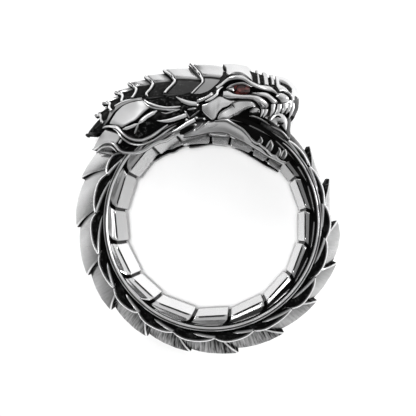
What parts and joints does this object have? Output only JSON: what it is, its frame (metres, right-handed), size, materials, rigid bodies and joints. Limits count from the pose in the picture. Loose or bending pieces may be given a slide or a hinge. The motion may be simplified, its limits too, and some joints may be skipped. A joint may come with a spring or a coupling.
{
  "type": "dragon ring",
  "caption": "Cast silver finger ring in the form of a scaled dragon biting its own tail, with a red faceted stone set in each eye.",
  "frame": {"origin": "centre of the finger hole, half way along its wall", "axes": "+Z along the finger hole, +Y to the top of the head, +X to the side that the snout points to"},
  "size_m": [0.0291, 0.032, 0.0112],
  "materials": {
    "silver": "polished, with blackened recesses",
    "red_stone": "faceted and polished"
  },
  "bodies": {
    "root": {"ring_casting": "silver", "eye_stone_left": "red_stone", "eye_stone_right": "red_stone"}
  },
  "joints": []
}
